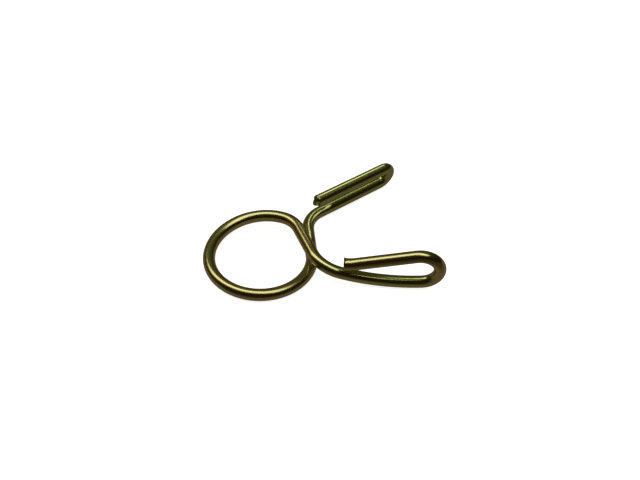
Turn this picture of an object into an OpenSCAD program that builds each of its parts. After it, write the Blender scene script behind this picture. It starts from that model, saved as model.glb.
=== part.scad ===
// Spring wire tubing clamp, bent from one length of round wire.
// The wire goes once round the tube and crosses itself.
// Its two arms end in finger loops, which are squeezed together to open the ring.
// X runs from the ring towards the arms, and Z is up.
// The origin is the ring's centre, on the surface that the clamp lies on.
// The lower half lies flat. The upper half climbs over it at the crossing and comes down again along its arm.

/* [Wire] */
// Thickness of the spring wire
wire_d = 1.6; // [1.2:0.05:1.9]

/* [Ring] */
// Clear width inside the ring
ring_bore = 11.9; // [11:0.1:16]
// Turn from the ring's back to the crossing, the same for both halves
half_turn = 172; // [168:0.5:174]
// Centreline radius of the shoulders that lead from the ring into the crossing
shoulder_r = 4.1; // [2:0.1:4.5]
// Share of the upper half's turn that its shoulder takes
upper_shoulder = 42; // [30:1:45]
// Share of the lower half's turn that its shoulder takes
lower_shoulder = 11; // [8:1:20]

/* [Crossing] */
// How far each half's straight stretch reaches past the point where the halves cross
crossing_past = 0.25; // [0:0.05:2]
// Air between the two halves where they cross
crossing_gap = 0.05; // [0.03:0.01:0.4]

/* [Arms] */
// Centreline radius of the bend at the root of each arm
root_r = 4; // [3:0.1:6]
// Turn of the upper half's root bend
upper_root = 67.5; // [60:0.5:75]
// Turn of the lower half's root bend
lower_root = 58.5; // [52:0.5:68]
// Height of the upper arm's lowest point above the surface that the clamp lies on
upper_arm_rise = 0; // [0:0.05:0.8]
// Length of each arm from its root bend to its finger loop
arm_run = 10.5; // [7:0.1:14]
// Gentle turn of the upper half's arm over its length, where the lower half's is straight
arm_bow = 24; // [4:0.5:30]

/* [Finger loops] */
// Centreline radius of the fold at the upper arm's tip
loop_r = 2.5; // [2:0.05:3.2]
// Centreline radius of the fold at the lower arm's tip
lower_loop_r = 1.5; // [1.2:0.05:2.4]
// Lean of the upper half's loop out of the upright, towards the other arm
upper_lean = -13; // [-18:0.5:10]
// Lean of the lower half's loop out of the upright, towards the other arm
lower_lean = 11.5; // [0:0.5:26]
// How far the upper half's cut end stops short of its arm's root bend
upper_end_short = 1.2; // [0:0.1:3]
// How far the lower half's cut end runs on past its arm's root bend
lower_end_past = 1.1; // [0:0.1:2]
// Air between the upper half's cut end and its own arm
upper_end_gap = 0.05; // [0.05:0.05:2.5]
// Air between the lower half's cut end and its own arm
lower_end_gap = 1.5; // [0.5:0.05:2.5]

/* [Cut ends] */
// Turn of the curl that lifts the upper half's cut end away from its arm
end_curl = 13; // [5:0.5:20]
// Centreline radius of that curl
end_curl_r = 3; // [2:0.1:5]
// Straight wire between that curl and the lip
end_straight = 0.4; // [0.1:0.05:1]
// Height of the lip that the shears raise round the upper half's cut end
lip_rise = 0.14; // [0.05:0.01:0.2]
// Length of wire that the lip flares over
lip_run = 0.4; // [0.2:0.05:0.8]
// Edge break round the lower half's cut end
end_chamfer = 0.12; // [0.05:0.01:0.25]

/* [Hidden] */
$fn = 64;

wire_r = wire_d / 2;
ring_r = ring_bore / 2 + wire_r;
arm_bow_r = arm_run * 180 / (PI * arm_bow);

// Start of a half's straight stretch, in the half's own plane and from the ring's centre.
function straight_start(shoulder) =
    let (ring_turn = half_turn - shoulder)
    [
        (shoulder_r - ring_r) * cos(ring_turn) - shoulder_r * cos(half_turn),
        (ring_r - shoulder_r) * sin(ring_turn) + shoulder_r * sin(half_turn)
    ];

// The upper half's straight stretch runs to where it meets the line of the lower half's.
upper_start = straight_start(upper_shoulder);
lower_start = straight_start(lower_shoulder);
ahead = (lower_start.x - upper_start.x) / sin(half_turn);
across = -(lower_start.y + upper_start.y) / cos(half_turn);
crossing_lead = (ahead + across) / 2;
crossing_run = crossing_lead + crossing_past;

// Distance from the ring's back to the crossing, and the climb that lifts the upper half over the lower.
crossing_reach = ring_r + upper_start.x + crossing_lead * sin(half_turn);
climb = asin((wire_d + crossing_gap) / crossing_reach);

// Height of the upper arm's lowest point when its root bend is rolled down by this much.
// Each rise is the upward part of a unit vector along the wire, or towards the side it bends to.
function upper_arm_low(dip) =
    let (
        run_rise = sin(climb) * sin(half_turn),
        root_rise = -cos(dip) * sin(climb) * cos(half_turn) - sin(dip) * cos(climb),
        side_rise = cos(dip) * cos(climb) - sin(dip) * sin(climb) * cos(half_turn),
        arm_rise = cos(upper_root) * run_rise + sin(upper_root) * root_rise,
        turned_rise = cos(upper_root) * root_rise - sin(upper_root) * run_rise,
        loop_rise = sin(upper_lean) * turned_rise + cos(upper_lean) * side_rise,
        level_turn = atan2(-arm_rise, loop_rise),
        bow_turn = min(level_turn, arm_bow),
        run_end = crossing_reach * sin(climb) + crossing_past * run_rise,
        root_end = run_end + root_r * (sin(upper_root) * run_rise + (1 - cos(upper_root)) * root_rise),
        bow_end = root_end + arm_bow_r * (sin(bow_turn) * arm_rise + (1 - cos(bow_turn)) * loop_rise)
    )
    bow_end
        + loop_r * (sin(level_turn) - sin(bow_turn)) * arm_rise
        + loop_r * (cos(bow_turn) - cos(level_turn)) * loop_rise;

// Roll between two limits that brings the upper arm's lowest point to its height, found by halving.
function find_dip(least = 0, most = 60, halvings = 40) =
    let (middle = (least + most) / 2)
    halvings == 0 ? middle
        : upper_arm_low(middle) > upper_arm_rise ? find_dip(middle, most, halvings - 1)
        : find_dip(least, middle, halvings - 1);

upper_dip = find_dip();

// The curl carries the upper half's end along the line of its return wire, and out from that line.
end_run = end_straight + lip_run;
curl_along = end_curl_r * sin(end_curl) + end_run * cos(end_curl);
curl_out = end_curl_r * (1 - cos(end_curl)) + end_run * sin(end_curl);
upper_return = arm_run - upper_end_short - end_curl_r * end_curl * PI / 180 - end_run;
lower_return = arm_run + lower_end_past;

// Turn of a fold whose return wire ends this far back from the fold's centre and this far out from it,
// and then lies beside the centre by this much, measured away from the arm.
function fold_turn(back, out, beside) = 180 + acos(beside / norm([out, back])) - atan2(back, out);

// How far beside its fold's centre a cut end lies when it is this far from its arm, from centre to centre.
// The upper arm is an arc, and the lower arm is a straight line.
function beside_bow(back, out, apart) =
    let (
        inset = arm_bow_r - loop_r,
        level = arm_bow_r - apart
    )
    (inset * inset + out * out + back * back - level * level) / (2 * inset);
function beside_line(apart) = apart - lower_loop_r;

upper_back = upper_return + curl_along;
upper_out = loop_r + curl_out;
upper_beside = beside_bow(upper_back, upper_out, wire_d + lip_rise + upper_end_gap);
upper_fold = fold_turn(upper_back, upper_out, upper_beside);
lower_fold = fold_turn(lower_return, lower_loop_r, beside_line(wire_d + lower_end_gap));

// Bends and straights of one half, from the ring's back to the root of its arm.
// Each is [roll, straight length] or [roll, bend radius, bend angle].
function half_steps(shoulder, root_roll, root) = [
    [0, ring_r, half_turn - shoulder],
    [0, shoulder_r, shoulder],
    [0, crossing_run],
    [root_roll, root_r, root]
];

// From there on the upper half has a bowed arm, its fold, its return wire and the curl near its end.
upper_steps = concat(
    half_steps(upper_shoulder, 180 - upper_dip, upper_root),
    [
        [90 - upper_lean, arm_bow_r, arm_bow],
        [0, loop_r, upper_fold],
        [0, upper_return],
        [180, end_curl_r, end_curl]
    ]
);

// The lower half has a straight arm and its fold.
lower_steps = concat(
    half_steps(lower_shoulder, 180, lower_root),
    [
        [lower_lean - 90, arm_run],
        [0, lower_loop_r, lower_fold]
    ]
);

// A ball carries each stretch into the next: it is thicker than the wire by this much all round,
// and each stretch ends this far from its centre.
joint_rise = 0.002;
joint_gap = 0.01;

module joint_ball() {
    sphere(r = wire_r + joint_rise);
}

// A bend that starts at the origin along Z and turns towards X.
module wire_bend(radius, angle) {
    gap_angle = joint_gap * 180 / (PI * radius);
    multmatrix([[-1, 0, 0, radius], [0, 0, 1, 0], [0, 1, 0, 0]])
        rotate_extrude(angle = angle - 2 * gap_angle, start = gap_angle)
            translate([radius, 0]) circle(r = wire_r);
}

// Wire that runs along Z from the origin through its steps. The children go on from its far end.
module wire_run(steps, i = 0) {
    joint_ball();
    if (i == len(steps)) {
        children();
    } else {
        roll = steps[i][0];
        size = steps[i][1];
        angle = steps[i][2];
        rotate([0, 0, roll])
            if (is_undef(angle)) {
                translate([0, 0, joint_gap]) cylinder(h = size - 2 * joint_gap, r = wire_r);
                translate([0, 0, size]) wire_run(steps, i + 1) children();
            } else {
                wire_bend(size, angle);
                translate([size * (1 - cos(angle)), 0, size * sin(angle)])
                    rotate([0, angle, 0])
                        wire_run(steps, i + 1) children();
            }
    }
}

// Straight wire up to a cut end, which widens into a lip or narrows to a broken edge.
module end_wire(length, edge_run, edge_rise) {
    rotate_extrude()
        polygon([
            [0, joint_gap],
            [wire_r, joint_gap],
            [wire_r, length - edge_run],
            [wire_r + edge_rise, length],
            [0, length]
        ]);
}

module clamp_wire() {
    color([0.6, 0.54, 0.2])
        translate([-ring_r, 0, wire_r]) {
            rotate([0, -climb, 0])
                rotate([-90, 0, 0])
                    wire_run(upper_steps) end_wire(end_run, lip_run, lip_rise);
            rotate([90, 0, 0])
                wire_run(lower_steps) end_wire(lower_return, end_chamfer, -end_chamfer);
        }
}

clamp_wire();
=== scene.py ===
"""Spring wire tubing clamp on a pale floor in soft light.

The clamp is one bent wire, with its yellow plating and its cut ends.
"""
import logging
import math
from dataclasses import dataclass, field
from enum import Enum
from typing import Dict, List, Sequence, Tuple, Union

import bmesh
import bpy
from mathutils import Matrix, Vector


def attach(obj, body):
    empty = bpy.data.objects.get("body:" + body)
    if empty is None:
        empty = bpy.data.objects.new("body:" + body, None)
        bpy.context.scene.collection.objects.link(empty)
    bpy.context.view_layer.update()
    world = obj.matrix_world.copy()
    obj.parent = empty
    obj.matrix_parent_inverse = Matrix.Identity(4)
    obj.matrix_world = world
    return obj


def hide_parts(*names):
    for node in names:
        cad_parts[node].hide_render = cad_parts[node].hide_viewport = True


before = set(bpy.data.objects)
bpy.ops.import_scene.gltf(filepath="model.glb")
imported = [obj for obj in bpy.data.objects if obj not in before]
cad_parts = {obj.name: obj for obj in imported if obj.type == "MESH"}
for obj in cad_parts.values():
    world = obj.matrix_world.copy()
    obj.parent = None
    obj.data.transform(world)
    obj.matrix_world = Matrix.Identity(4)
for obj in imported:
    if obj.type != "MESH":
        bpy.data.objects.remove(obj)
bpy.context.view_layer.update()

LOG = logging.getLogger("tubing_clamp")
MM = 0.001
IMAGE_WIDTH_PX = 640
SENSOR_WIDTH_MM = 36.0

Colour = Tuple[float, float, float, float]
Point = Tuple[float, float, float]
Value = Union[float, bpy.types.NodeSocket]

# Places along the wire, from the lower half's cut end, with the film's thickness there.
FILM_ALONG = (
    (0.0, 0.85),
    (0.12, 0.95),
    (0.26, 0.95),
    (0.31, 0.3),
    (0.36, 0.5),
    (0.46, 0.35),
    (0.55, 0.7),
    (0.64, 0.2),
    (0.71, 0.25),
    (0.76, 0.9),
    (0.83, 0.95),
    (0.89, 0.3),
    (0.96, 0.45),
)
FILM_STRAY = 0.25

# Thickness of the film at which its tint is purest.
FILM_RUSSET = 0.0
FILM_GOLD = 0.5
FILM_GREEN = 1.0
PATCH_DETAIL = 3.0

# Fineness of the die's lines and of the slow waves between them, and their height.
LINE_DETAIL = 4.0
LINE_ROUGHNESS = 0.65
LINE_HEIGHT = 0.01 * MM
WAVE_SCALE = 0.22
WAVE_DETAIL = 2.0

# Span that most values of a noise lie in.
NOISE_LOW = 0.3
NOISE_HIGH = 0.7

# Spread of a lamp that shines to all sides of its face, in degrees.
FULL_SPREAD = 180.0

# Share of a face's corners past which it counts as cut.
CUT_FACE_FROM = 0.4


class Half(Enum):
    """The two halves of the wire, which start together at the back of the ring."""

    UPPER = 1
    LOWER = -1


class Region(Enum):
    """Stretches of wire surface that get a finish of their own."""

    SKIN = 0
    CUT_FACE = 1


@dataclass(frozen=True)
class ClampSizes:
    """Driving dimensions of the clamp, in millimetres and degrees."""

    wire_d: float = 1.6
    ring_bore: float = 11.9
    half_turn: float = 172.0
    shoulder_r: float = 4.1
    upper_shoulder: float = 42.0
    lower_shoulder: float = 11.0
    crossing_past: float = 0.25
    crossing_gap: float = 0.05
    root_r: float = 4.0
    upper_root: float = 67.5
    lower_root: float = 58.5
    arm_run: float = 10.5
    arm_bow: float = 24.0
    loop_r: float = 2.5
    lower_loop_r: float = 1.5
    upper_lean: float = -13.0
    lower_lean: float = 11.5
    upper_end_short: float = 1.2
    lower_end_past: float = 1.1
    upper_end_gap: float = 0.05
    lower_end_gap: float = 1.5
    end_curl: float = 13.0
    end_curl_r: float = 3.0
    end_straight: float = 0.4
    lip_rise: float = 0.14
    lip_run: float = 0.4
    end_chamfer: float = 0.12

    @property
    def wire_r(self) -> float:
        """Radius of the wire."""
        return self.wire_d / 2

    @property
    def ring_r(self) -> float:
        """Radius of the ring's centreline."""
        return self.ring_bore / 2 + self.wire_r

    @property
    def arm_bow_r(self) -> float:
        """Radius of the upper arm's gentle bow."""
        return self.arm_run / math.radians(self.arm_bow)

    def straight_start(self, shoulder: float) -> Tuple[float, float]:
        """Finds where a half's straight stretch starts.

        Args:
            shoulder: The share of the half's turn that its shoulder takes.

        Returns:
            The point in the half's own plane, from the ring's centre.
        """
        ring_turn = math.radians(self.half_turn - shoulder)
        whole_turn = math.radians(self.half_turn)
        spare_r = self.ring_r - self.shoulder_r
        x = -spare_r * math.cos(ring_turn) - self.shoulder_r * math.cos(whole_turn)
        y = spare_r * math.sin(ring_turn) + self.shoulder_r * math.sin(whole_turn)
        return x, y

    @property
    def crossing_lead(self) -> float:
        """Length of the upper half's straight stretch up to the crossing."""
        turn = math.radians(self.half_turn)
        upper_x, upper_y = self.straight_start(self.upper_shoulder)
        lower_x, lower_y = self.straight_start(self.lower_shoulder)
        ahead = (lower_x - upper_x) / math.sin(turn)
        across = -(lower_y + upper_y) / math.cos(turn)
        return (ahead + across) / 2

    @property
    def climb(self) -> float:
        """Angle that lifts the upper half over the lower at the crossing."""
        upper_x, _ = self.straight_start(self.upper_shoulder)
        reach = self.ring_r + upper_x + self.crossing_lead * math.sin(math.radians(self.half_turn))
        return math.degrees(math.asin((self.wire_d + self.crossing_gap) / reach))

    @property
    def end_run(self) -> float:
        """Length of the upper half's wire past its curl."""
        return self.end_straight + self.lip_run

    @property
    def upper_return(self) -> float:
        """Length of the upper half's straight return wire, up to its curl."""
        curl = self.end_curl_r * math.radians(self.end_curl)
        return self.arm_run - self.upper_end_short - curl - self.end_run

    @property
    def lower_return(self) -> float:
        """Length of the lower half's return wire."""
        return self.arm_run + self.lower_end_past

    @property
    def upper_fold(self) -> float:
        """Turn of the upper half's fold, which brings its cut end close to its bowed arm."""
        curl = math.radians(self.end_curl)
        back = self.upper_return + self.end_curl_r * math.sin(curl) + self.end_run * math.cos(curl)
        out = self.loop_r + self.end_curl_r * (1 - math.cos(curl)) + self.end_run * math.sin(curl)
        apart = self.wire_d + self.lip_rise + self.upper_end_gap
        inset = self.arm_bow_r - self.loop_r
        level = self.arm_bow_r - apart
        beside = (inset**2 + out**2 + back**2 - level**2) / (2 * inset)
        return fold_turn(back, out, beside)

    @property
    def lower_fold(self) -> float:
        """Turn of the lower half's fold, which brings its cut end to a distance from its straight arm."""
        beside = self.wire_d + self.lower_end_gap - self.lower_loop_r
        return fold_turn(self.lower_return, self.lower_loop_r, beside)


def fold_turn(back: float, out: float, beside: float) -> float:
    """Finds the turn of a fold from where its return wire ends.

    Args:
        back: Distance of the end back from the fold's centre, along the return wire.
        out: Distance of the end out from the fold's centre, across the return wire.
        beside: Distance of the end from the fold's centre, measured away from the arm.

    Returns:
        The turn of the fold in degrees.
    """
    tilt = math.acos(beside / math.hypot(out, back)) - math.atan2(back, out)
    return 180.0 + math.degrees(tilt)


@dataclass
class Section:
    """One ring of the swept wire, with its centre and radius in metres and its region."""

    centre: Vector
    radius: float
    region: Region = Region.SKIN


@dataclass
class WirePath:
    """Walks along the wire's centreline, in millimetres, and keeps a point at every small step."""

    place: Matrix
    step: float = 0.14
    arc_step: float = 0.28
    bend_step: float = 2.5
    points: List[Vector] = field(default_factory=list)
    root: int = 0

    def __post_init__(self) -> None:
        """Keeps the starting point."""
        self.points.append(self.place.translation.copy())

    def mark_root(self) -> None:
        """Notes that the arm's root bend starts here."""
        self.root = len(self.points)

    def roll(self, angle: float) -> None:
        """Turns the side that the next bend goes to, by an angle in degrees."""
        self.place = self.place @ Matrix.Rotation(math.radians(angle), 4, "Z")

    def _move(self, move: Matrix) -> None:
        """Steps on by a move in the wire's own frame and keeps the new point."""
        self.place = self.place @ move
        self.points.append(self.place.translation.copy())

    def run(self, length: float) -> None:
        """Goes straight on.

        Args:
            length: Length of the straight stretch.
        """
        count = max(1, round(length / self.step))
        for _ in range(count):
            self._move(Matrix.Translation((0.0, 0.0, length / count)))

    def bend(self, radius: float, angle: float) -> None:
        """Goes round a bend.

        Args:
            radius: Radius of the centreline.
            angle: Turn of the bend in degrees.
        """
        step_turn = min(self.bend_step, math.degrees(self.arc_step / radius))
        count = max(1, round(angle / step_turn))
        turn = math.radians(angle / count)
        chord = Matrix.Translation((radius * (1 - math.cos(turn)), 0.0, radius * math.sin(turn)))
        for _ in range(count):
            self._move(chord @ Matrix.Rotation(turn, 4, "Y"))


@dataclass
class ClampWire:
    """The one bent wire of the clamp, with the fineness of its mesh in millimetres and degrees."""

    sizes: ClampSizes = field(default_factory=ClampSizes)
    sides: int = 56
    lip_shares: Tuple[float, ...] = (0.0, 0.25, 0.5, 0.7, 0.85)
    rim_round: float = 0.05
    rim_turns: Tuple[float, ...] = (0.0, 30.0, 60.0, 90.0)
    face_rings: int = 6
    face_hub_r: float = 0.002
    face_rise: float = 0.0005
    dip_limits: Tuple[float, float] = (0.0, 60.0)
    dip_halvings: int = 30

    def _start(self, half: Half) -> Matrix:
        """Places the start of a half at the back of the ring.

        Args:
            half: The half of the wire.

        Returns:
            A frame whose Z runs along the wire and whose X points to the ring's centre.
        """
        sizes = self.sizes
        back = Matrix.Translation((-sizes.ring_r, 0.0, sizes.wire_r))
        lift = sizes.climb if half is Half.UPPER else 0.0
        tilt = Matrix.Rotation(math.radians(-lift), 4, "Y")
        return back @ tilt @ Matrix.Rotation(math.radians(-90.0 * half.value), 4, "X")

    def _walk(self, half: Half, dip: float) -> WirePath:
        """Follows a half from the back of the ring to its cut end.

        Args:
            half: The half of the wire.
            dip: Roll of the upper half's root bend, which brings its arm down.

        Returns:
            The path of the half's centreline.
        """
        sizes = self.sizes
        upper = half is Half.UPPER
        shoulder = sizes.upper_shoulder if upper else sizes.lower_shoulder
        path = WirePath(self._start(half))
        path.bend(sizes.ring_r, sizes.half_turn - shoulder)
        path.bend(sizes.shoulder_r, shoulder)
        path.run(sizes.crossing_lead + sizes.crossing_past)
        path.mark_root()
        path.roll(180.0 - dip if upper else 180.0)
        path.bend(sizes.root_r, sizes.upper_root if upper else sizes.lower_root)
        if upper:
            path.roll(90.0 - sizes.upper_lean)
            path.bend(sizes.arm_bow_r, sizes.arm_bow)
            path.bend(sizes.loop_r, sizes.upper_fold)
            path.run(sizes.upper_return)
            path.roll(180.0)
            path.bend(sizes.end_curl_r, sizes.end_curl)
            path.run(sizes.end_run)
        else:
            path.roll(sizes.lower_lean - 90.0)
            path.run(sizes.arm_run)
            path.bend(sizes.lower_loop_r, sizes.lower_fold)
            path.run(sizes.lower_return)
        return path

    def _find_dip(self) -> float:
        """Finds the roll that lays the upper arm on the surface, by halving.

        Returns:
            The roll of the upper half's root bend in degrees.
        """
        least, most = self.dip_limits
        for _ in range(self.dip_halvings):
            middle = (least + most) / 2
            path = self._walk(Half.UPPER, middle)
            lowest = min(point.z for point in path.points[path.root:])
            if lowest > self.sizes.wire_r:
                least = middle
            else:
                most = middle
        return (least + most) / 2

    def _sections(self, half: Half, dip: float) -> List[Section]:
        """Lists the rings of a half, with its cut end.

        Args:
            half: The half of the wire.
            dip: Roll of the upper half's root bend.

        Returns:
            The rings from the back of the ring to the middle of the cut face.
        """
        sizes = self.sizes
        path = self._walk(half, dip)
        axis = path.place.col[2].to_3d()
        face = path.place.translation
        lipped = half is Half.UPPER
        run = sizes.lip_run if lipped else sizes.end_chamfer
        rise = sizes.lip_rise if lipped else -sizes.end_chamfer
        rings = [
            Section(point * MM, sizes.wire_r * MM)
            for point in path.points
            if (face - point).length > run + path.step / 2
        ]
        for share in self.lip_shares:
            radius = sizes.wire_r + rise * share**2
            rings.append(Section((face - axis * run * (1 - share)) * MM, radius * MM))
        outer = sizes.wire_r + rise
        for turn in self.rim_turns:
            angle = math.radians(turn)
            inset = self.rim_round * (1 - math.cos(angle))
            back = self.rim_round * (1 - math.sin(angle))
            rings.append(Section((face - axis * back) * MM, (outer - inset) * MM))
        flat = outer - self.rim_round
        for ring in range(1, self.face_rings + 1):
            share = ring / self.face_rings
            radius = flat * (1 - share) + self.face_hub_r * share
            centre = face + axis * self.face_rise * ring
            rings.append(Section(centre * MM, radius * MM, Region.CUT_FACE))
        return rings

    def build(self, skin: bpy.types.Material, cut: bpy.types.Material) -> bpy.types.Object:
        """Sweeps the wire along its path.

        Args:
            skin: Finish of the plated wire.
            cut: Finish of the cut faces.

        Returns:
            The wire as one plain mesh object.
        """
        dip = self._find_dip()
        lower = self._sections(Half.LOWER, dip)
        upper = self._sections(Half.UPPER, dip)
        # Both halves start with the same ring, so the lower half leaves its own out.
        rings = lower[:0:-1] + upper
        spine = spine_object("clamp_spine", rings)
        finishes = {Region.SKIN: skin, Region.CUT_FACE: cut}
        wire = sweep_spine(spine, "clamp_wire_skin", self.sides, finishes)
        LOG.info("dip of the upper arm %.3f degrees, %d rings", dip, len(rings))
        return wire

    def dress(self, wire: bpy.types.Object) -> None:
        """Puts the swept wire in the place of the plain solid.

        Args:
            wire: The swept wire.
        """
        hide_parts("clamp_wire")
        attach(wire, "root")


def put_in_scene(name: str, data: bpy.types.ID) -> bpy.types.Object:
    """Makes an object and links it into the scene.

    Args:
        name: Name of the object.
        data: The mesh, lamp or camera that it holds.

    Returns:
        The object.
    """
    item = bpy.data.objects.new(name, data)
    bpy.context.scene.collection.objects.link(item)
    return item


def spine_object(name: str, rings: Sequence[Section]) -> bpy.types.Object:
    """Makes the line of vertices that a wire is swept along.

    Args:
        name: Name of the object.
        rings: The rings of the wire, in order.

    Returns:
        An object of one open chain of edges, with the radius and the region of each ring as attributes.
    """
    mesh = bpy.data.meshes.new(name)
    edges = [(i, i + 1) for i in range(len(rings) - 1)]
    mesh.from_pydata([tuple(ring.centre) for ring in rings], edges, [])
    radius = mesh.attributes.new("ring_radius", "FLOAT", "POINT")
    radius.data.foreach_set("value", [ring.radius for ring in rings])
    cut = mesh.attributes.new("cut_face", "FLOAT", "POINT")
    cut.data.foreach_set("value", [float(ring.region.value) for ring in rings])
    return put_in_scene(name, mesh)


def named_attribute(tree: bpy.types.NodeTree, name: str) -> bpy.types.NodeSocket:
    """Reads a number that each point of a spine carries.

    Args:
        tree: The geometry node tree to build in.
        name: Name of the attribute.

    Returns:
        The socket with the number.
    """
    node = tree.nodes.new("GeometryNodeInputNamedAttribute")
    node.data_type = "FLOAT"
    node.inputs["Name"].default_value = name
    return node.outputs["Attribute"]


def store_attribute(
    tree: bpy.types.NodeTree, name: str, kind: str, curve: bpy.types.NodeSocket, value: bpy.types.NodeSocket
) -> bpy.types.NodeSocket:
    """Keeps a value on each point of a curve, for the finishes to read.

    Args:
        tree: The geometry node tree to build in.
        name: Name of the attribute.
        kind: Kind of the attribute.
        curve: The curve.
        value: The value.

    Returns:
        The socket with the curve.
    """
    node = tree.nodes.new("GeometryNodeStoreNamedAttribute")
    node.data_type = kind
    node.domain = "POINT"
    node.inputs["Name"].default_value = name
    tree.links.new(curve, node.inputs["Geometry"])
    tree.links.new(value, node.inputs["Value"])
    return node.outputs["Geometry"]


def sweep_tree() -> bpy.types.NodeTree:
    """Builds the node tree that sweeps a round section along a spine.

    Returns:
        The tree. Its inputs are the number of sides and the two finishes.
    """
    tree = bpy.data.node_groups.new("swept_wire", "GeometryNodeTree")
    face = tree.interface
    face.new_socket("Geometry", in_out="INPUT", socket_type="NodeSocketGeometry")
    face.new_socket("Sides", in_out="INPUT", socket_type="NodeSocketInt")
    face.new_socket("Skin finish", in_out="INPUT", socket_type="NodeSocketMaterial")
    face.new_socket("Cut finish", in_out="INPUT", socket_type="NodeSocketMaterial")
    face.new_socket("Geometry", in_out="OUTPUT", socket_type="NodeSocketGeometry")
    nodes, links = tree.nodes, tree.links
    given = nodes.new("NodeGroupInput")
    result = nodes.new("NodeGroupOutput")

    to_curve = nodes.new("GeometryNodeMeshToCurve")
    links.new(given.outputs["Geometry"], to_curve.inputs["Mesh"])
    normal = nodes.new("GeometryNodeSetCurveNormal")
    links.new(to_curve.outputs["Curve"], normal.inputs["Curve"])
    length = nodes.new("GeometryNodeSplineParameter").outputs["Length"]
    path = store_attribute(tree, "along", "FLOAT", normal.outputs["Curve"], length)

    circle = nodes.new("GeometryNodeCurvePrimitiveCircle")
    circle.inputs["Radius"].default_value = 1.0
    links.new(given.outputs["Sides"], circle.inputs["Resolution"])
    position = nodes.new("GeometryNodeInputPosition").outputs["Position"]
    section = store_attribute(tree, "section", "FLOAT_VECTOR", circle.outputs["Curve"], position)

    sweep = nodes.new("GeometryNodeCurveToMesh")
    sweep.inputs["Fill Caps"].default_value = True
    links.new(path, sweep.inputs["Curve"])
    links.new(section, sweep.inputs["Profile Curve"])
    links.new(named_attribute(tree, "ring_radius"), sweep.inputs["Scale"])
    smooth = nodes.new("GeometryNodeSetShadeSmooth")
    links.new(sweep.outputs["Mesh"], smooth.inputs["Geometry"])
    realize = nodes.new("GeometryNodeRealizeInstances")
    links.new(smooth.outputs["Geometry"], realize.inputs["Geometry"])
    skin = nodes.new("GeometryNodeSetMaterial")
    links.new(realize.outputs["Geometry"], skin.inputs["Geometry"])
    links.new(given.outputs["Skin finish"], skin.inputs["Material"])
    is_cut = nodes.new("FunctionNodeCompare")
    is_cut.data_type = "FLOAT"
    is_cut.operation = "GREATER_THAN"
    is_cut.inputs["B"].default_value = CUT_FACE_FROM
    links.new(named_attribute(tree, "cut_face"), is_cut.inputs["A"])
    cut = nodes.new("GeometryNodeSetMaterial")
    links.new(skin.outputs["Geometry"], cut.inputs["Geometry"])
    links.new(is_cut.outputs["Result"], cut.inputs["Selection"])
    links.new(given.outputs["Cut finish"], cut.inputs["Material"])
    links.new(cut.outputs["Geometry"], result.inputs["Geometry"])
    return tree


def sweep_spine(
    spine: bpy.types.Object, name: str, sides: int, finishes: Dict[Region, bpy.types.Material]
) -> bpy.types.Object:
    """Sweeps a spine to a plain mesh and removes the spine.

    Args:
        spine: The chain of vertices to follow.
        name: Name of the new object.
        sides: Number of sides of the round section.
        finishes: The finish of each region.

    Returns:
        The swept object, at the origin.
    """
    tree = sweep_tree()
    modifier = spine.modifiers.new("sweep", "NODES")
    modifier.node_group = tree
    values = {
        "Sides": sides,
        "Skin finish": finishes[Region.SKIN],
        "Cut finish": finishes[Region.CUT_FACE],
    }
    for item in tree.interface.items_tree:
        if item.item_type == "SOCKET" and item.in_out == "INPUT" and item.name in values:
            modifier[item.identifier] = values[item.name]
    depsgraph = bpy.context.evaluated_depsgraph_get()
    mesh = bpy.data.meshes.new_from_object(spine.evaluated_get(depsgraph), depsgraph=depsgraph)
    bpy.data.objects.remove(spine, do_unlink=True)
    shape = bmesh.new()
    shape.from_mesh(mesh)
    bmesh.ops.recalc_face_normals(shape, faces=shape.faces)
    shape.to_mesh(mesh)
    shape.free()
    return put_in_scene(name, mesh)


def new_group(
    name: str, inputs: Sequence[Tuple[str, str, object]], outputs: Sequence[Tuple[str, str]]
) -> Tuple[bpy.types.NodeTree, bpy.types.Node, bpy.types.Node]:
    """Starts a shader node group.

    Args:
        name: Name of the group.
        inputs: Name, kind and preset of each input.
        outputs: Name and kind of each output.

    Returns:
        The group, its input node and its output node.
    """
    group = bpy.data.node_groups.new(name, "ShaderNodeTree")
    for label, kind, preset in inputs:
        socket = group.interface.new_socket(label, in_out="INPUT", socket_type=kind)
        socket.default_value = preset
    for label, kind in outputs:
        group.interface.new_socket(label, in_out="OUTPUT", socket_type=kind)
    return group, group.nodes.new("NodeGroupInput"), group.nodes.new("NodeGroupOutput")


def math_node(tree: bpy.types.NodeTree, operation: str, *values: Value) -> bpy.types.NodeSocket:
    """Works out a number from other numbers.

    Args:
        tree: The node tree to build in.
        operation: Name of the operation.
        values: The numbers, or the sockets that give them, in order.

    Returns:
        The socket with the result.
    """
    node = tree.nodes.new("ShaderNodeMath")
    node.operation = operation
    for socket, value in zip(node.inputs, values):
        if isinstance(value, bpy.types.NodeSocket):
            tree.links.new(value, socket)
        else:
            socket.default_value = value
    return node.outputs["Value"]


def range_node(
    tree: bpy.types.NodeTree,
    value: bpy.types.NodeSocket,
    given: Tuple[float, float],
    wanted: Tuple[float, float] = (0.0, 1.0),
) -> bpy.types.NodeSocket:
    """Carries a number from one range over to another, and holds it there.

    Args:
        tree: The node tree to build in.
        value: The number.
        given: Start and end of the range that it comes from.
        wanted: Start and end of the range that it goes to.

    Returns:
        The socket with the result.
    """
    node = tree.nodes.new("ShaderNodeMapRange")
    node.inputs["From Min"].default_value, node.inputs["From Max"].default_value = given
    node.inputs["To Min"].default_value, node.inputs["To Max"].default_value = wanted
    tree.links.new(value, node.inputs["Value"])
    return node.outputs["Result"]


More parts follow.
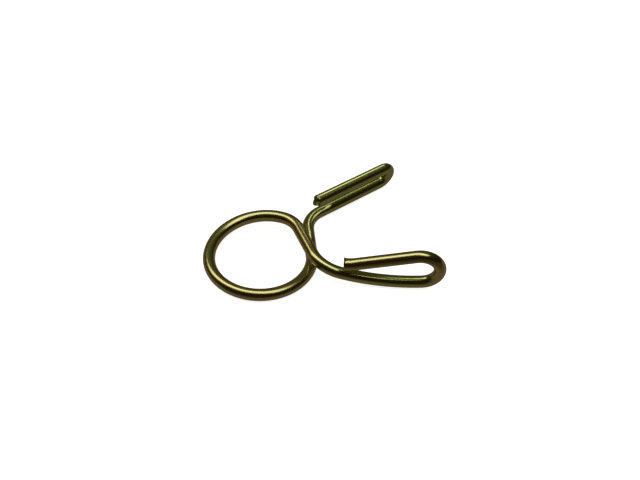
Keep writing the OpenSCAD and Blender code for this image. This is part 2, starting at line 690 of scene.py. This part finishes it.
def drawn_grain_group() -> bpy.types.NodeTree:
    """Builds the lines that the drawing die leaves along the wire.

    Returns:
        A group that puts out the lines and slow waves along the wire, both from 0 to 1.
    """
    group, given, result = new_group(
        "drawn_grain",
        [("Lines around", "NodeSocketFloat", 14.0), ("Lines along", "NodeSocketFloat", 160.0)],
        [("Lines", "NodeSocketFloat"), ("Waves", "NodeSocketFloat")],
    )
    nodes, links = group.nodes, group.links
    section = nodes.new("ShaderNodeAttribute")
    section.attribute_name = "section"
    along = nodes.new("ShaderNodeAttribute")
    along.attribute_name = "along"
    around = nodes.new("ShaderNodeVectorMath")
    around.operation = "SCALE"
    links.new(section.outputs["Vector"], around.inputs[0])
    links.new(given.outputs["Lines around"], around.inputs["Scale"])
    split = nodes.new("ShaderNodeSeparateXYZ")
    links.new(around.outputs["Vector"], split.inputs["Vector"])
    length = math_node(group, "MULTIPLY", along.outputs["Fac"], given.outputs["Lines along"])
    place = nodes.new("ShaderNodeCombineXYZ")
    links.new(split.outputs["X"], place.inputs["X"])
    links.new(split.outputs["Y"], place.inputs["Y"])
    links.new(length, place.inputs["Z"])
    lines = nodes.new("ShaderNodeTexNoise")
    lines.inputs["Scale"].default_value = 1.0
    lines.inputs["Detail"].default_value = LINE_DETAIL
    lines.inputs["Roughness"].default_value = LINE_ROUGHNESS
    links.new(place.outputs["Vector"], lines.inputs["Vector"])
    links.new(lines.outputs["Fac"], result.inputs["Lines"])
    waves = nodes.new("ShaderNodeTexNoise")
    waves.inputs["Scale"].default_value = WAVE_SCALE
    waves.inputs["Detail"].default_value = WAVE_DETAIL
    links.new(place.outputs["Vector"], waves.inputs["Vector"])
    links.new(waves.outputs["Fac"], result.inputs["Waves"])
    return group


def plating_film_group() -> bpy.types.NodeTree:
    """Builds the shifting tints of the thin yellow film on the plating.

    The film is a little thicker here and thinner there along the wire.
    That turns it from gold to green or russet.

    Returns:
        A group that mixes three tints along the wire and in soft patches, and puts out the colour.
    """
    group, given, result = new_group(
        "plating_film",
        [
            ("Gold", "NodeSocketColor", (0.6, 0.5, 0.1, 1.0)),
            ("Green", "NodeSocketColor", (0.4, 0.5, 0.1, 1.0)),
            ("Russet", "NodeSocketColor", (0.5, 0.25, 0.1, 1.0)),
            ("Wire length", "NodeSocketFloat", 0.1),
            ("Patch scale", "NodeSocketFloat", 170.0),
        ],
        [("Colour", "NodeSocketColor")],
    )
    nodes, links = group.nodes, group.links
    place = nodes.new("ShaderNodeTexCoord")
    patch = nodes.new("ShaderNodeTexNoise")
    patch.inputs["Detail"].default_value = PATCH_DETAIL
    links.new(place.outputs["Object"], patch.inputs["Vector"])
    links.new(given.outputs["Patch scale"], patch.inputs["Scale"])
    along = nodes.new("ShaderNodeAttribute")
    along.attribute_name = "along"
    share = math_node(group, "DIVIDE", along.outputs["Fac"], given.outputs["Wire length"])
    stray = range_node(group, patch.outputs["Fac"], (0.0, 1.0), (-FILM_STRAY, FILM_STRAY))
    thickness = math_node(group, "ADD", film_curve(group, share), stray)
    tint = given.outputs["Gold"]
    for name, purest in (("Green", FILM_GREEN), ("Russet", FILM_RUSSET)):
        mix = nodes.new("ShaderNodeMix")
        mix.data_type = "RGBA"
        links.new(range_node(group, thickness, (FILM_GOLD, purest)), mix.inputs["Factor"])
        links.new(tint, mix.inputs["A"])
        links.new(given.outputs[name], mix.inputs["B"])
        tint = mix.outputs["Result"]
    links.new(tint, result.inputs["Colour"])
    return group


def film_curve(group: bpy.types.NodeTree, share: bpy.types.NodeSocket) -> bpy.types.NodeSocket:
    """Gives the film's thickness along the wire.

    Args:
        group: The node group to build in.
        share: The place along the wire, from 0 to 1.

    Returns:
        The thickness, from 0 for russet over one half for gold to 1 for green.
    """
    ramp = group.nodes.new("ShaderNodeValToRGB")
    ramp.color_ramp.interpolation = "B_SPLINE"
    stops = ramp.color_ramp.elements
    while len(stops) > 1:
        stops.remove(stops[-1])
    for index, (position, thickness) in enumerate(FILM_ALONG):
        stop = stops[0] if index == 0 else stops.new(position)
        stop.position = position
        stop.color = (thickness, thickness, thickness, 1.0)
    group.links.new(share, ramp.inputs["Fac"])
    return ramp.outputs["Color"]


def bare_material(
    name: str,
) -> Tuple[bpy.types.Material, bpy.types.NodeTree, bpy.types.NodeSocket]:
    """Starts a material that has nothing but its output.

    Args:
        name: Name of the material.

    Returns:
        The material, its node tree and the socket that takes its surface.
    """
    material = bpy.data.materials.new(name)
    material.use_nodes = True
    tree = material.node_tree
    tree.nodes.clear()
    output = tree.nodes.new("ShaderNodeOutputMaterial")
    return material, tree, output.inputs["Surface"]


@dataclass(frozen=True)
class WireFinish:
    """Polished metal under a thin tinted film, with the die's lines along it."""

    name: str
    gold: Colour
    green: Colour
    russet: Colour
    wire_length: float
    patch_scale: float
    lines_around: float
    lines_along: float
    line_depth: float
    roughness_low: float
    roughness_high: float
    bump: float

    def build(self, grain: bpy.types.NodeTree, film: bpy.types.NodeTree) -> bpy.types.Material:
        """Builds the material.

        Args:
            grain: The group of lines along the wire.
            film: The group of tints of the film.

        Returns:
            The finished material.
        """
        material, tree, surface = bare_material(self.name)
        nodes, links = tree.nodes, tree.links
        shader = nodes.new("ShaderNodeBsdfPrincipled")
        shader.inputs["Metallic"].default_value = 1.0
        links.new(shader.outputs["BSDF"], surface)

        lines = nodes.new("ShaderNodeGroup")
        lines.node_tree = grain
        lines.inputs["Lines around"].default_value = self.lines_around
        lines.inputs["Lines along"].default_value = self.lines_along
        tint = nodes.new("ShaderNodeGroup")
        tint.node_tree = film
        tint.inputs["Gold"].default_value = self.gold
        tint.inputs["Green"].default_value = self.green
        tint.inputs["Russet"].default_value = self.russet
        tint.inputs["Wire length"].default_value = self.wire_length
        tint.inputs["Patch scale"].default_value = self.patch_scale

        middle = (NOISE_LOW, NOISE_HIGH)
        shade = range_node(tree, lines.outputs["Lines"], middle, (1.0 - self.line_depth, 1.0))
        colour = nodes.new("ShaderNodeVectorMath")
        colour.operation = "SCALE"
        links.new(tint.outputs["Colour"], colour.inputs[0])
        links.new(shade, colour.inputs["Scale"])
        links.new(colour.outputs["Vector"], shader.inputs["Base Color"])

        rough = (self.roughness_low, self.roughness_high)
        gloss = range_node(tree, lines.outputs["Waves"], middle, rough)
        links.new(gloss, shader.inputs["Roughness"])

        height = nodes.new("ShaderNodeBump")
        height.inputs["Strength"].default_value = self.bump
        height.inputs["Distance"].default_value = LINE_HEIGHT
        links.new(lines.outputs["Lines"], height.inputs["Height"])
        links.new(height.outputs["Normal"], shader.inputs["Normal"])
        return material


PLATED = WireFinish(
    name="yellow_plating",
    gold=(0.63, 0.6, 0.26, 1.0),
    green=(0.53, 0.62, 0.2, 1.0),
    russet=(0.68, 0.55, 0.21, 1.0),
    wire_length=0.112,
    patch_scale=170.0,
    lines_around=14.0,
    lines_along=160.0,
    line_depth=0.12,
    roughness_low=0.18,
    roughness_high=0.26,
    bump=0.08,
)
SHEARED = WireFinish(
    name="sheared_face",
    gold=(0.42, 0.34, 0.18, 1.0),
    green=(0.32, 0.30, 0.16, 1.0),
    russet=(0.36, 0.24, 0.15, 1.0),
    wire_length=0.112,
    patch_scale=1400.0,
    lines_around=4.0,
    lines_along=900.0,
    line_depth=0.45,
    roughness_low=0.32,
    roughness_high=0.5,
    bump=0.6,
)


@dataclass(frozen=True)
class SoftBox:
    """A rectangular soft lamp, with its place and sizes in millimetres.

    Its azimuth and elevation tell where its back looks, and its long azimuth where its length points.
    """

    name: str
    place: Point
    azimuth: float
    elevation: float
    long_azimuth: float
    length: float
    width: float
    radiance: float
    spread: float = FULL_SPREAD
    colour: Tuple[float, float, float] = (1.0, 0.97, 0.92)

    @property
    def is_strip(self) -> bool:
        """Tells whether the lamp is a narrow strip, which only shows in the wire's polish."""
        return self.spread < FULL_SPREAD

    def build(self) -> bpy.types.Object:
        """Places the lamp.

        Returns:
            The lamp.
        """
        lamp = bpy.data.lights.new(self.name, "AREA")
        lamp.shape = "RECTANGLE"
        lamp.size = self.length * MM
        lamp.size_y = self.width * MM
        lamp.color = self.colour
        lamp.spread = math.radians(self.spread)
        lamp.energy = self.radiance * math.pi * self.length * self.width * MM**2
        box = put_in_scene(self.name, lamp)
        away = direction(self.azimuth, self.elevation)
        across = away.cross(direction(self.long_azimuth, 0.0)).normalized()
        axes = Matrix((across.cross(away), across, away)).transposed().to_4x4()
        box.matrix_world = Matrix.Translation(Vector(self.place) * MM) @ axes
        box.visible_camera = False
        box.visible_diffuse = not self.is_strip
        return box


def direction(azimuth: float, elevation: float) -> Vector:
    """Gives a unit vector.

    Args:
        azimuth: Angle in degrees from X towards Y.
        elevation: Angle in degrees above the floor.

    Returns:
        The vector.
    """
    flat = math.cos(math.radians(elevation))
    turn = math.radians(azimuth)
    return Vector((flat * math.cos(turn), flat * math.sin(turn), math.sin(math.radians(elevation))))


@dataclass
class Studio:
    """Pale floor, soft lamps, and glowing cards that only the wire's polish sees, which paint the wire's
    reflections of a dim room and floor.

    The floor and the tent, a painted reflection dome, are measured in metres, and the places of the painted
    floor reflection in millimetres.
    """

    floor_half: float = 1.5
    floor_pale: float = 0.9
    floor_white: float = 0.82
    fill: float = 0.35
    # Painted floor reflection: the tint and glow of the card that the wire mirrors, with less glow in front
    # of the clamp as painted shade.
    floor_reflection_tint: Colour = (1.0, 0.77, 0.6, 1.0)
    floor_reflection_shaded: float = 0.05
    floor_reflection_lit: float = 0.155
    floor_reflection_shade_span: Tuple[float, float] = (-14.0, -6.0)
    floor_reflection_depth_axis: Point = (0.2, 0.98, 0.0)
    ground_height: float = 0.02
    # Painted room reflection: the tints and glow of the dome that the wire mirrors, lighter towards one
    # side as painted light.
    room_reflection_dim_tint: Colour = (1.0, 0.6, 0.1, 1.0)
    room_reflection_lit_tint: Colour = (1.0, 0.92, 0.4, 1.0)
    room_reflection_dim: float = 0.014
    room_reflection_lit_gain: float = 0.06
    room_reflection_lit_side: Tuple[float, float] = (90.0, 45.0)
    tent_radius: float = 1.2
    tent_segments: Tuple[int, int] = (48, 24)
    boxes: Tuple[SoftBox, ...] = (
        SoftBox(
            name="overhead_softbox",
            place=(-85.2, 88.1, 494.4),
            azimuth=136.0,
            elevation=80.0,
            long_azimuth=-42.0,
            length=900.0,
            width=280.0,
            radiance=1.55,
        ),
        SoftBox(
            name="far_loop_strip",
            place=(15.8, 12.1, 8.7),
            azimuth=69.0,
            elevation=43.5,
            long_azimuth=24.0,
            length=14.0,
            width=4.0,
            radiance=0.052,
            spread=28.0,
        ),
        SoftBox(
            name="far_root_strip",
            place=(11.2, 5.8, 3.3),
            azimuth=8.0,
            elevation=45.0,
            long_azimuth=98.0,
            length=3.0,
            width=2.4,
            radiance=0.2,
            spread=60.0,
        ),
    )

    def _white_share(self, tree: bpy.types.NodeTree, strength: float) -> bpy.types.NodeSocket:
        """Gives a strength to the rays that show the background, and none to the rest.

        Args:
            tree: The node tree to build in.
            strength: The strength for camera, glossy and transmission rays.

        Returns:
            The socket with the strength.
        """
        path = tree.nodes.new("ShaderNodeLightPath")
        largest = path.outputs["Is Camera Ray"]
        for other in ("Is Glossy Ray", "Is Transmission Ray"):
            largest = math_node(tree, "MAXIMUM", largest, path.outputs[other])
        return math_node(tree, "MULTIPLY", largest, strength)

    def _floor(self) -> bpy.types.Object:
        """Builds the pale floor, which shows white but keeps the shadow under the clamp.

        Returns:
            The floor.
        """
        material, tree, surface = bare_material("pale_floor")
        matt = tree.nodes.new("ShaderNodeBsdfDiffuse")
        matt.inputs["Color"].default_value = (self.floor_pale,) * 3 + (1.0,)
        white = tree.nodes.new("ShaderNodeEmission")
        tree.links.new(self._white_share(tree, self.floor_white), white.inputs["Strength"])
        both = tree.nodes.new("ShaderNodeAddShader")
        tree.links.new(matt.outputs["BSDF"], both.inputs[0])
        tree.links.new(white.outputs["Emission"], both.inputs[1])
        tree.links.new(both.outputs["Shader"], surface)
        return flat_panel("floor", self.floor_half, 0.0, material)

    def _card(self, name: str) -> Tuple[bpy.types.NodeTree, bpy.types.Node, bpy.types.Material]:
        """Starts the finish of a glowing card, which is no lamp and paints a reflection in the wire.

        Args:
            name: Name of the material.

        Returns:
            The node tree, the emission node and the material.
        """
        material, tree, surface = bare_material(name)
        glow = tree.nodes.new("ShaderNodeEmission")
        tree.links.new(glow.outputs["Emission"], surface)
        return tree, glow, material

    def _ground_strength(self, tree: bpy.types.NodeTree) -> bpy.types.NodeSocket:
        """Gives the glow of the painted floor reflection, which is dimmer in front of the clamp as painted
        shade in the wire's reflection of the floor.

        Args:
            tree: The node tree to build in.

        Returns:
            The socket with the brightness.
        """
        place = tree.nodes.new("ShaderNodeTexCoord")
        depth = tree.nodes.new("ShaderNodeVectorMath")
        depth.operation = "DOT_PRODUCT"
        depth.inputs[1].default_value = self.floor_reflection_depth_axis
        tree.links.new(place.outputs["Object"], depth.inputs[0])
        # Painted shade: the reflected floor glows less in front of the clamp.
        share = tree.nodes.new("ShaderNodeMapRange")
        share.interpolation_type = "SMOOTHSTEP"
        share.inputs["From Min"].default_value = self.floor_reflection_shade_span[0] * MM
        share.inputs["From Max"].default_value = self.floor_reflection_shade_span[1] * MM
        share.inputs["To Min"].default_value = self.floor_reflection_shaded
        share.inputs["To Max"].default_value = self.floor_reflection_lit
        tree.links.new(depth.outputs["Value"], share.inputs["Value"])
        return share.outputs["Result"]

    def _ground_card(self) -> bpy.types.Object:
        """Builds the glowing tan card just above the floor, which only the wire's polish sees. It paints
        the wire's reflection of the floor, with painted shade in front of the clamp.

        Returns:
            The card.
        """
        tree, glow, material = self._card("painted_floor_reflection")
        glow.inputs["Color"].default_value = self.floor_reflection_tint
        tree.links.new(self._ground_strength(tree), glow.inputs["Strength"])
        return flat_panel("painted_floor_reflection", self.floor_half, self.ground_height * MM, material)

    def _tent(self) -> bpy.types.Object:
        """Builds the glowing dome that only the wire's polish sees, which paints the wire's reflection of a
        dim room. It is a painted reflection, a little lighter overhead and behind the clamp than in front,
        as if lit from there.

        Returns:
            The tent.
        """
        tree, glow, material = self._card("painted_room_reflection")
        place = tree.nodes.new("ShaderNodeTexCoord")
        away = tree.nodes.new("ShaderNodeVectorMath")
        away.operation = "NORMALIZE"
        tree.links.new(place.outputs["Object"], away.inputs[0])
        lit = tree.nodes.new("ShaderNodeVectorMath")
        lit.operation = "DOT_PRODUCT"
        lit.inputs[1].default_value = direction(*self.room_reflection_lit_side)
        tree.links.new(away.outputs["Vector"], lit.inputs[0])
        # Painted light: the dome glows more towards its lit side and is darkest in front of the clamp.
        share = math_node(tree, "MAXIMUM", lit.outputs["Value"], 0.0)
        tint = tree.nodes.new("ShaderNodeMix")
        tint.data_type = "RGBA"
        tint.inputs["A"].default_value = self.room_reflection_dim_tint
        tint.inputs["B"].default_value = self.room_reflection_lit_tint
        tree.links.new(share, tint.inputs["Factor"])
        tree.links.new(tint.outputs["Result"], glow.inputs["Color"])
        square = math_node(tree, "MULTIPLY", share, share)
        strength = math_node(tree, "MULTIPLY_ADD", square, self.room_reflection_lit_gain, self.room_reflection_dim)
        tree.links.new(strength, glow.inputs["Strength"])
        mesh = bpy.data.meshes.new("room_reflection_dome")
        shape = bmesh.new()
        around, upwards = self.tent_segments
        bmesh.ops.create_uvsphere(
            shape, u_segments=around, v_segments=upwards, radius=self.tent_radius
        )
        bmesh.ops.reverse_faces(shape, faces=shape.faces)
        shape.to_mesh(mesh)
        shape.free()
        mesh.materials.append(material)
        return put_in_scene("room_reflection_dome", mesh)

    def _cards(self) -> List[bpy.types.Object]:
        """Builds the glowing cards that only the wire's polish sees, which paint the wire's reflections of
        the floor and the room.

        Returns:
            The cards.
        """
        cards = [self._ground_card(), self._tent()]
        for card in cards:
            card.visible_camera = False
            card.visible_diffuse = False
            card.visible_shadow = False
        return cards

    def _world(self) -> None:
        """Builds the white surroundings, which give the floor and the clamp a plain soft fill."""
        world = bpy.data.worlds.new("studio")
        world.use_nodes = True
        tree = world.node_tree
        tree.nodes.clear()
        output = tree.nodes.new("ShaderNodeOutputWorld")
        background = tree.nodes.new("ShaderNodeBackground")
        brightness = math_node(tree, "MAXIMUM", self._white_share(tree, 1.0), self.fill)
        tree.links.new(brightness, background.inputs["Strength"])
        tree.links.new(background.outputs["Background"], output.inputs["Surface"])
        bpy.context.scene.world = world

    def build(self) -> None:
        """Builds the floor, the cards, the lamps and the world."""
        stage = [self._floor(), *self._cards()]
        for box in self.boxes:
            box.build()
        self._world()
        bpy.context.scene.view_settings.view_transform = "Standard"


def flat_panel(name: str, half: float, height: float, material: bpy.types.Material) -> bpy.types.Object:
    """Makes a level square panel.

    Args:
        name: Name of the object.
        half: Half of the panel's width in metres.
        height: Height above the floor in metres.
        material: Finish of the panel.

    Returns:
        The panel.
    """
    mesh = bpy.data.meshes.new(name)
    corners = [(-half, -half, height), (half, -half, height), (half, half, height), (-half, half, height)]
    mesh.from_pydata(corners, [], [(0, 1, 2, 3)])
    mesh.materials.append(material)
    return put_in_scene(name, mesh)


@dataclass(frozen=True)
class Viewpoint:
    """The camera of the photograph, from its place over the clamp."""

    aim_mm: Point = (8.367, 1.424, 0.8)
    azimuth: float = -105.675
    elevation: float = 44.47
    roll: float = 2.687
    distance_mm: float = 124.19
    focal_px: float = 926.52
    clip_near_mm: float = 1.0
    clip_far_mm: float = 10000.0

    def build(self) -> bpy.types.Object:
        """Places the camera and makes it the scene's own.

        Returns:
            The camera.
        """
        camera = bpy.data.cameras.new("photo_view")
        camera.sensor_width = SENSOR_WIDTH_MM
        camera.lens = self.focal_px * SENSOR_WIDTH_MM / IMAGE_WIDTH_PX
        camera.clip_start = self.clip_near_mm * MM
        camera.clip_end = self.clip_far_mm * MM
        view = put_in_scene("photo_view", camera)
        away = direction(self.azimuth, self.elevation)
        level = Vector((0.0, 0.0, 1.0)).cross(away).normalized()
        upright = away.cross(level)
        axes = Matrix((level, upright, away)).transposed().to_4x4()
        place = Matrix.Translation((Vector(self.aim_mm) + away * self.distance_mm) * MM)
        view.matrix_world = place @ axes @ Matrix.Rotation(math.radians(self.roll), 4, "Z")
        bpy.context.scene.camera = view
        return view


def main() -> None:
    """Builds the view, the studio and the clamp."""
    logging.basicConfig(level=logging.INFO, format="%(name)s: %(message)s")
    view = Viewpoint().build()
    LOG.info("camera %s", view.name)
    Studio().build()
    LOG.info("studio")
    grain = drawn_grain_group()
    film = plating_film_group()
    clamp = ClampWire()
    wire = clamp.build(PLATED.build(grain, film), SHEARED.build(grain, film))
    clamp.dress(wire)
    LOG.info("%s: %d faces", wire.name, len(wire.data.polygons))


if __name__ == "__main__":
    main()
